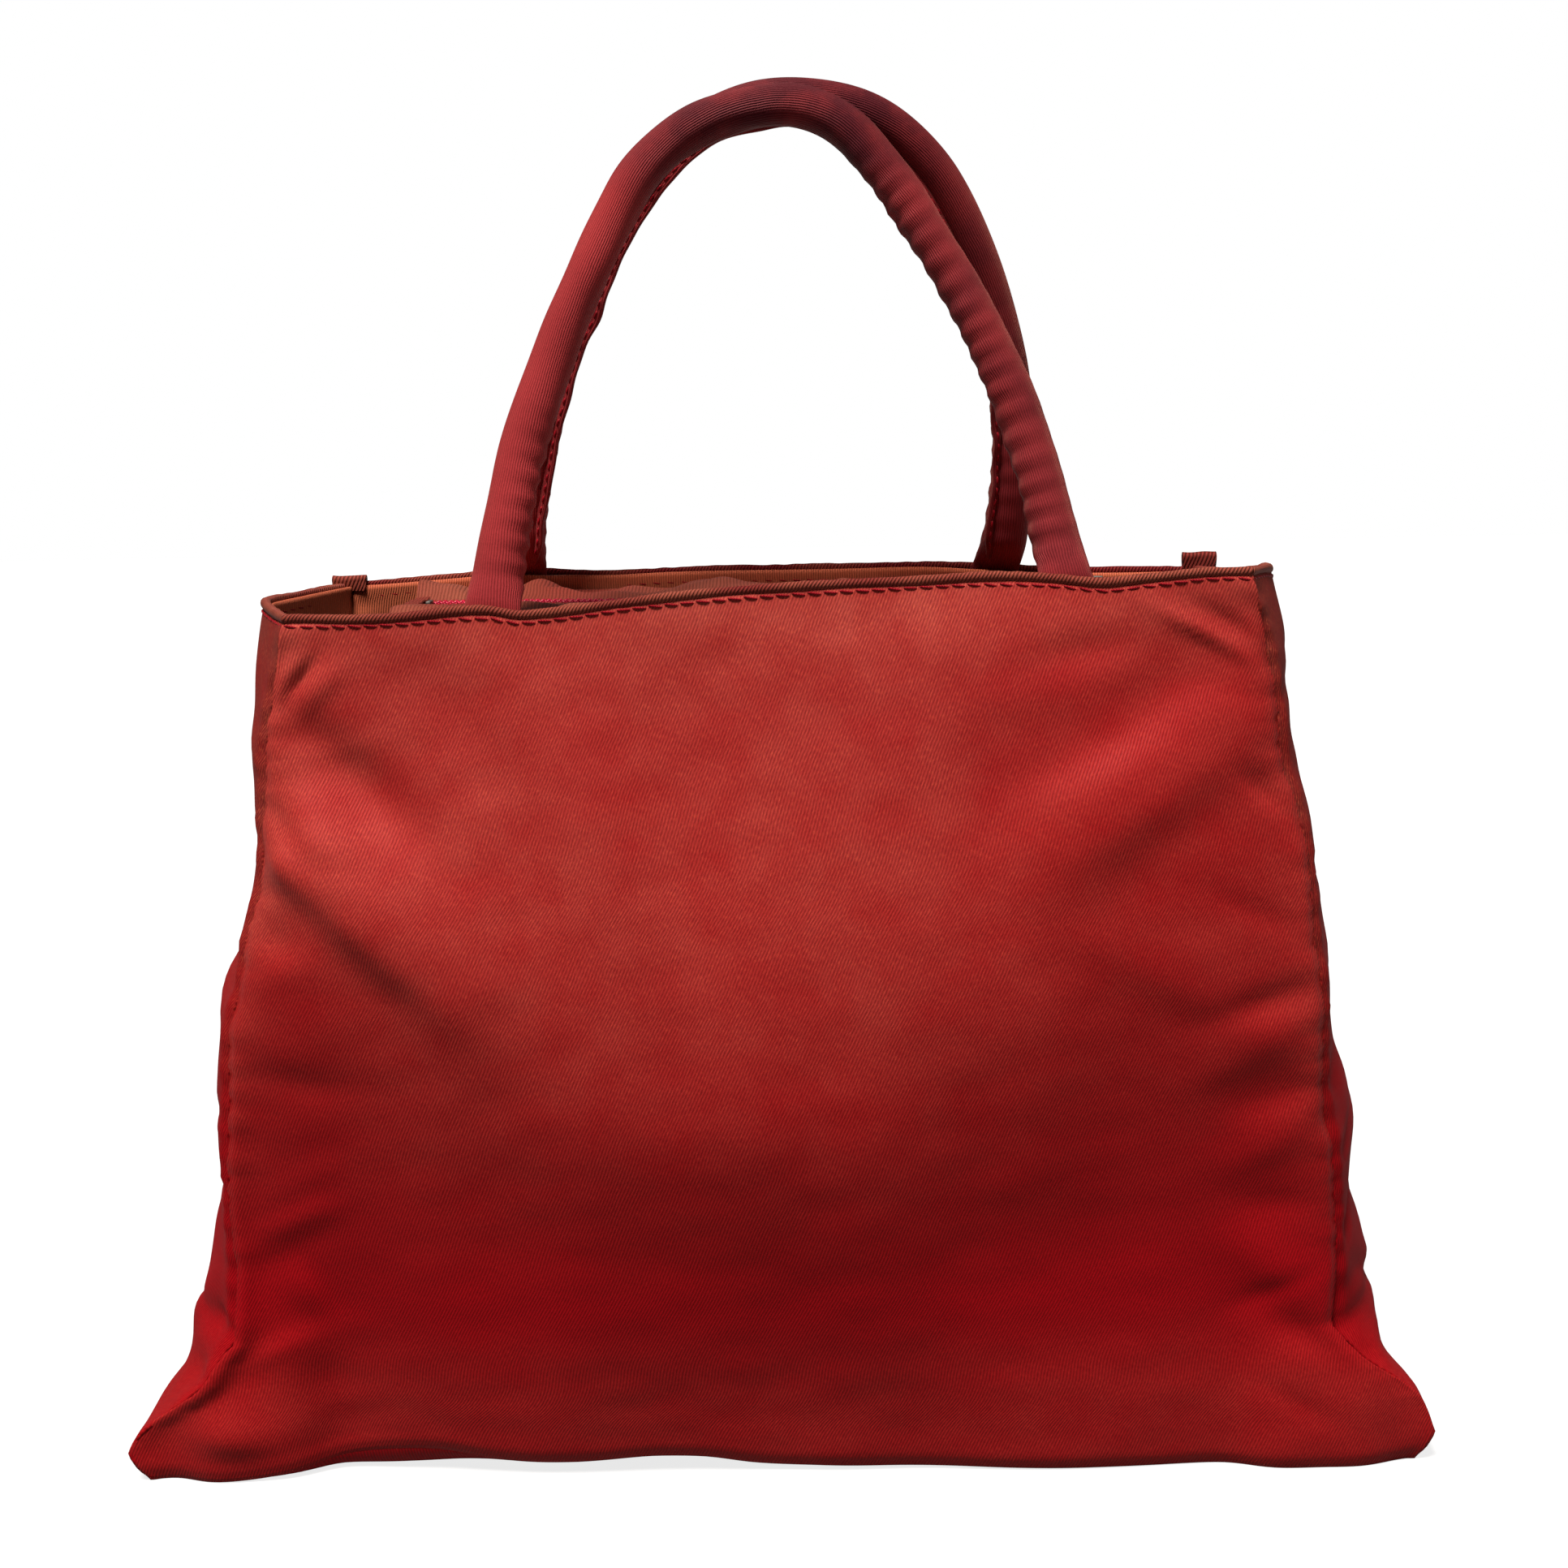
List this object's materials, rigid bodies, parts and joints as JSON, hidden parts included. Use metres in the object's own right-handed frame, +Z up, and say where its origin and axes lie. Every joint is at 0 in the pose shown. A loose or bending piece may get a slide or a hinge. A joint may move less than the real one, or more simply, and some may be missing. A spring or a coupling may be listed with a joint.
{
  "type": "foldable tote bag",
  "caption": "Soft satin tote with a flared boxy body, recessed zip panel, stitched rim and padded tube handles that swing outwards.",
  "frame": {"origin": "centre of the base at floor level", "axes": "+Z up, X along the mouth, -Y towards the front panel"},
  "size_m": [0.4006, 0.1524, 0.417],
  "materials": {
    "satin": "satin twill nylon",
    "rim_satin": "satin twill nylon, faded at the fold",
    "facing_satin": "satin twill nylon, faded orange-brown",
    "lining_cloth": "plain woven lining",
    "stiffener_cloth": "nonwoven stiffener",
    "handle_satin": "ribbed satin twill nylon",
    "handle_cord": "twisted cotton filler cord",
    "zip_tape": "woven polyester tape",
    "zip_coil": "nylon coil",
    "zip_metal": "plated zip metal"
  },
  "bodies": {
    "bag": {"front_panel": "satin", "rear_panel": "satin", "left_gusset": "satin", "right_gusset": "satin", "base_panel": "satin", "front_rim": "rim_satin", "rear_rim": "rim_satin", "left_rim": "rim_satin", "right_rim": "rim_satin", "left_corner_tab": "rim_satin", "right_corner_tab": "rim_satin", "front_facing": "facing_satin", "rear_facing": "facing_satin", "left_facing": "facing_satin", "right_facing": "facing_satin", "front_zip_strip": "facing_satin", "rear_zip_strip": "facing_satin", "left_zip_end_tab": "facing_satin", "right_zip_end_tab": "facing_satin", "front_lining": "lining_cloth", "rear_lining": "lining_cloth", "left_lining": "lining_cloth", "right_lining": "lining_cloth", "base_lining": "lining_cloth", "inner_pocket": "lining_cloth", "front_stiffener": "stiffener_cloth", "rear_stiffener": "stiffener_cloth", "front_left_handle_anchor": "handle_satin", "front_right_handle_anchor": "handle_satin", "rear_left_handle_anchor": "handle_satin", "rear_right_handle_anchor": "handle_satin", "front_zip_tape": "zip_tape", "rear_zip_tape": "zip_tape", "front_zip_coil": "zip_coil", "rear_zip_coil": "zip_coil", "zip_stops": "zip_metal"},
    "front_handle": {"front_handle_sleeve": "handle_satin", "front_handle_core": "handle_cord"},
    "rear_handle": {"rear_handle_sleeve": "handle_satin", "rear_handle_core": "handle_cord"},
    "slider": {"zip_slider": "zip_metal"},
    "pull": {"zip_pull": "zip_metal"}
  },
  "joints": [
    {"name": "front_handle_swing", "type": "hinge", "parent": "bag", "child": "front_handle", "pos_m": [0, -0.0456, 0.268], "axis": [1, 0, 0], "range_deg": [0, 170]},
    {"name": "rear_handle_swing", "type": "hinge", "parent": "bag", "child": "rear_handle", "pos_m": [0, 0.0456, 0.268], "axis": [-1, 0, 0], "range_deg": [0, 170]},
    {"name": "zip_slide", "type": "slide", "parent": "bag", "child": "slider", "axis": [-1, 0, 0], "range_m": [0, 0.2]},
    {"name": "zip_pull_flip", "type": "hinge", "parent": "slider", "child": "pull", "pos_m": [0.1, 0, 0.26635], "axis": [0, 1, 0], "range_deg": [0, 170]}
  ]
}
